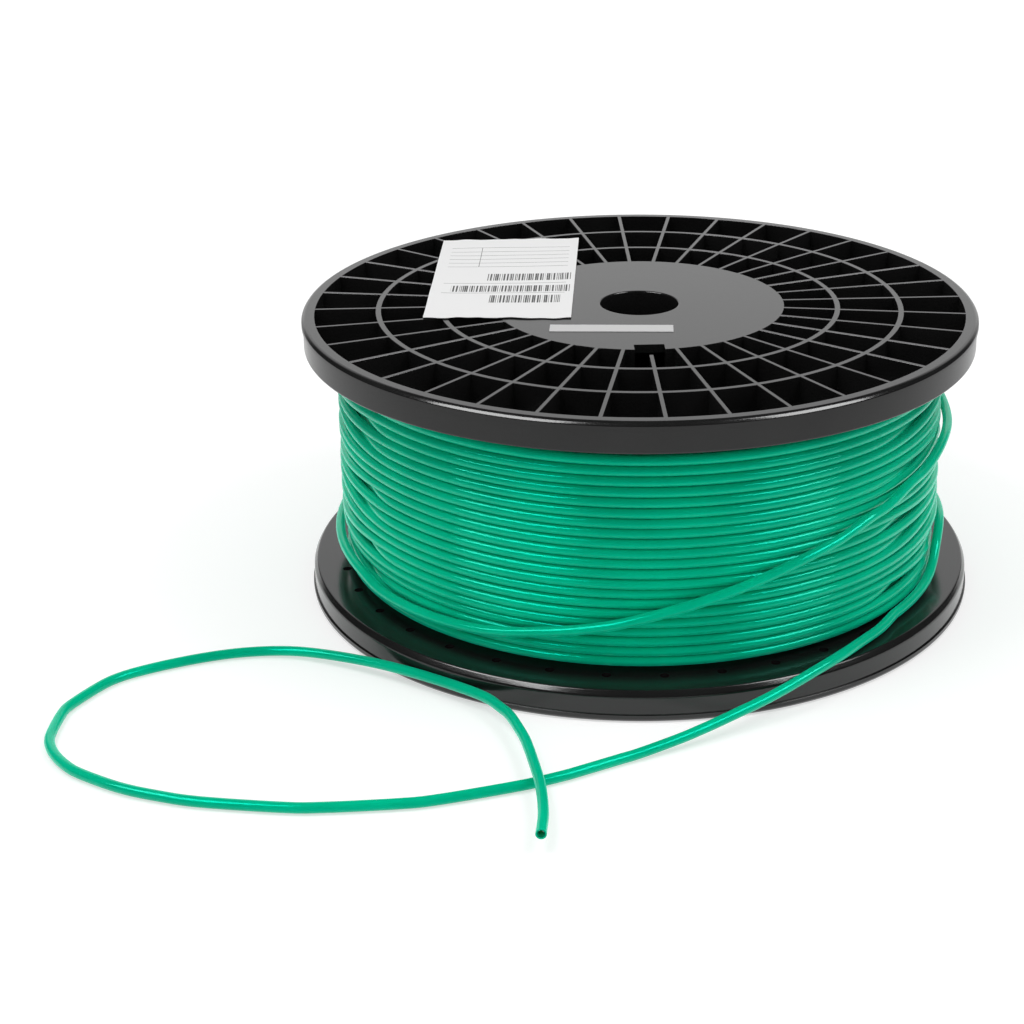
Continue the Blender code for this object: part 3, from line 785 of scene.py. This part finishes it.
# Marks in shares of the sheet's width and height: left, right, low and high, and whether they are striped.
sheet_marks = []
for height in rule_heights:
    sheet_marks.append((*rule_reach, height - rule_half_width, height + rule_half_width, False))
sheet_marks += [
    (0.30, 0.304, 0.63, 0.885, False),
    (0.38, 0.97, 0.45, 0.535, True),
    (0.14, 0.97, 0.31, 0.385, True),
    (0.42, 0.91, 0.175, 0.265, True),
]
label_sheets = (
    ("paper_sheet", "label_sheet", sheet_shape, paper_material("white_paper", sheet_white, sheet_marks)),
    ("paper_strip", "strip_label", strip_shape, paper_material("grey_paper", strip_white, [])),
)
for name, node, shape, paper in label_sheets:
    label = mesh_object(name, shape)
    label.data.shade_smooth()
    label.data.set_sharp_from_angle(angle=label_sharp_angle)
    coat(label, paper)
    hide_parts(node)
    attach(label, "reel")

# Floor
# A plain white floor that keeps the soft shadow. Away from the spool it glows whiter for the camera, and
# dimmer for what the spool's shine mirrors. Each glow is given near the spool and far from it.
floor_size = 8.0
floor_white = 0.55
floor_bounce = 0.3
floor_glow = (0.53, 0.85)
white_floor_from = (0.55, 1.1)
mirrored_glow = (0.65, 0.15)
dim_floor_from = (0.25, 0.6)


def smooth_range(nodes, links, value, span, results):
    """Return a node that goes smoothly from one result to the other while a value crosses a span."""
    ranged = nodes.new("ShaderNodeMapRange")
    ranged.interpolation_type = "SMOOTHSTEP"
    ranged.inputs["From Min"].default_value, ranged.inputs["From Max"].default_value = span
    ranged.inputs["To Min"].default_value, ranged.inputs["To Max"].default_value = results
    links.new(value, ranged.inputs["Value"])
    return ranged


bpy.ops.mesh.primitive_plane_add(size=floor_size)
floor = bpy.context.object
floor.name = "floor"
floor_material = bpy.data.materials.new("floor_white")
floor_material.use_nodes = True
floor_nodes = floor_material.node_tree.nodes
floor_links = floor_material.node_tree.links
floor_nodes.remove(floor_nodes["Principled BSDF"])
lit = floor_nodes.new("ShaderNodeBsdfDiffuse")
lit.inputs["Color"].default_value = (floor_white, floor_white, floor_white, 1.0)
glow = floor_nodes.new("ShaderNodeEmission")
floor_place = floor_nodes.new("ShaderNodeTexCoord")
from_spool = floor_nodes.new("ShaderNodeVectorMath")
from_spool.operation = "LENGTH"
floor_links.new(floor_place.outputs["Object"], from_spool.inputs[0])
distance = from_spool.outputs["Value"]
shown_glow = smooth_range(floor_nodes, floor_links, distance, white_floor_from, floor_glow)
dim_glow = smooth_range(floor_nodes, floor_links, distance, dim_floor_from, mirrored_glow)
floor_path = floor_nodes.new("ShaderNodeLightPath")
glow_in_shine = floor_nodes.new("ShaderNodeMix")
glow_in_shine.inputs["A"].default_value = floor_bounce
floor_links.new(floor_path.outputs["Is Glossy Ray"], glow_in_shine.inputs["Factor"])
floor_links.new(dim_glow.outputs["Result"], glow_in_shine.inputs["B"])
glow_strength = floor_nodes.new("ShaderNodeMix")
floor_links.new(floor_path.outputs["Is Camera Ray"], glow_strength.inputs["Factor"])
floor_links.new(glow_in_shine.outputs["Result"], glow_strength.inputs["A"])
floor_links.new(shown_glow.outputs["Result"], glow_strength.inputs["B"])
floor_links.new(glow_strength.outputs["Result"], glow.inputs["Strength"])
both_shaders = floor_nodes.new("ShaderNodeAddShader")
floor_links.new(lit.outputs["BSDF"], both_shaders.inputs[0])
floor_links.new(glow.outputs["Emission"], both_shaders.inputs[1])
floor_links.new(both_shaders.outputs["Shader"], floor_nodes["Material Output"].inputs["Surface"])
floor.data.materials.append(floor_material)

# Room
# What the spool's shine mirrors besides the floor and the soft boxes: a white wall behind it, which ends
# above and at both sides, and a dim room elsewhere. The camera sees plain white, and the rest is an even
# light.
ambient_light = 0.7
room_light = 0.04
wall_top = (0.5, 0.7)
wall_sides = (0.42, 0.7)
wall_front = (-0.1, 0.3)
world = bpy.data.worlds.new("studio")
bpy.context.scene.world = world
world.use_nodes = True
world_nodes = world.node_tree.nodes
world_links = world.node_tree.links
direction = world_nodes.new("ShaderNodeTexCoord")
direction_parts = world_nodes.new("ShaderNodeSeparateXYZ")
world_links.new(direction.outputs["Generated"], direction_parts.inputs["Vector"])
upwards = direction_parts.outputs["Z"]
white_wall = smooth_range(world_nodes, world_links, upwards, wall_top, (1.0, room_light))
sideways = world_nodes.new("ShaderNodeMath")
sideways.operation = "ABSOLUTE"
world_links.new(direction_parts.outputs["X"], sideways.inputs[0])
backdrop = smooth_range(
    world_nodes, world_links, sideways.outputs["Value"], wall_sides, (1.0, room_light)
)
world_links.new(white_wall.outputs["Result"], backdrop.inputs["To Min"])
backwards = direction_parts.outputs["Y"]
surround = smooth_range(world_nodes, world_links, backwards, wall_front, (room_light, 1.0))
world_links.new(backdrop.outputs["Result"], surround.inputs["To Max"])
world_path = world_nodes.new("ShaderNodeLightPath")
mirrored = world_nodes.new("ShaderNodeMix")
mirrored.inputs["A"].default_value = ambient_light
world_links.new(world_path.outputs["Is Glossy Ray"], mirrored.inputs["Factor"])
world_links.new(surround.outputs["Result"], mirrored.inputs["B"])
shown = world_nodes.new("ShaderNodeMix")
shown.inputs["B"].default_value = 1.0
background_rays = world_nodes.new("ShaderNodeMath")
background_rays.operation = "MAXIMUM"
world_links.new(world_path.outputs["Is Camera Ray"], background_rays.inputs[0])
world_links.new(world_path.outputs["Is Transmission Ray"], background_rays.inputs[1])
world_links.new(background_rays.outputs["Value"], shown.inputs["Factor"])
world_links.new(mirrored.outputs["Result"], shown.inputs["A"])
world_links.new(shown.outputs["Result"], world_nodes["Background"].inputs["Strength"])
world_nodes["Background"].inputs["Color"].default_value = (1.0, 1.0, 1.0, 1.0)

# Soft boxes
# Two fills light the spool and cast its soft shadows, and don't show in its shine. Two larger boxes are
# what its shine mirrors, and light nothing else. Their power is given for each metre of width.
box_distance = 1.6
target = Vector((0.0, 0.0, 0.08))
fill_size = (0.7, 0.5)
fill_power = 6.5
shine_height = 0.7
shine_power = 27.0


def add_soft_box(name, azimuth, elevation, size, power):
    """Add a soft box that faces the spool, at an azimuth from the camera's side and an elevation."""
    lamp = bpy.data.lights.new(name, "AREA")
    lamp.shape = "RECTANGLE"
    lamp.size, lamp.size_y = size
    lamp.energy = power
    box = bpy.data.objects.new(name, lamp)
    level = cos(radians(elevation))
    away = Vector((sin(radians(azimuth)) * level, -cos(radians(azimuth)) * level, sin(radians(elevation))))
    box.location = target + away * box_distance
    box.rotation_euler = away.to_track_quat("Z", "Y").to_euler()
    bpy.context.scene.collection.objects.link(box)
    return box


for side, azimuth, elevation in (("left", -62, 62), ("right", 75, 57)):
    fill = add_soft_box(side + "_fill", azimuth, elevation, fill_size, fill_power)
    fill.visible_glossy = False
for side, azimuth, elevation, width in (("left", -51, 43, 1.05), ("right", 64, 42, 0.8)):
    shine = add_soft_box(side + "_shine", azimuth, elevation, (width, shine_height), shine_power * width)
    shine.visible_diffuse = False

# Camera
# It stands where the photograph was taken from. Its angles are in degrees, and its shift is the
# photograph's framing, whose optical centre lies off the middle.
camera_place = (0.0, -1.09, 0.5017)
camera_heading = 1.115
camera_dip = 18.29
camera_lean = -0.247
camera_data = bpy.data.cameras.new("camera")
camera_data.sensor_width = 36.0
camera_data.lens = 75.89
camera_data.shift_x = -0.0852
camera_data.shift_y = -0.1852
camera = bpy.data.objects.new("camera", camera_data)
bpy.context.scene.collection.objects.link(camera)
tilted = Matrix.Rotation(radians(90 - camera_dip), 4, "X")
camera_turn = Matrix.Rotation(radians(camera_heading), 4, "Z") @ tilted
camera_roll = Matrix.Rotation(radians(camera_lean), 4, "Z")
camera.matrix_world = Matrix.Translation(camera_place) @ camera_turn @ camera_roll
bpy.context.scene.camera = camera
bpy.context.scene.view_settings.view_transform = "Standard"
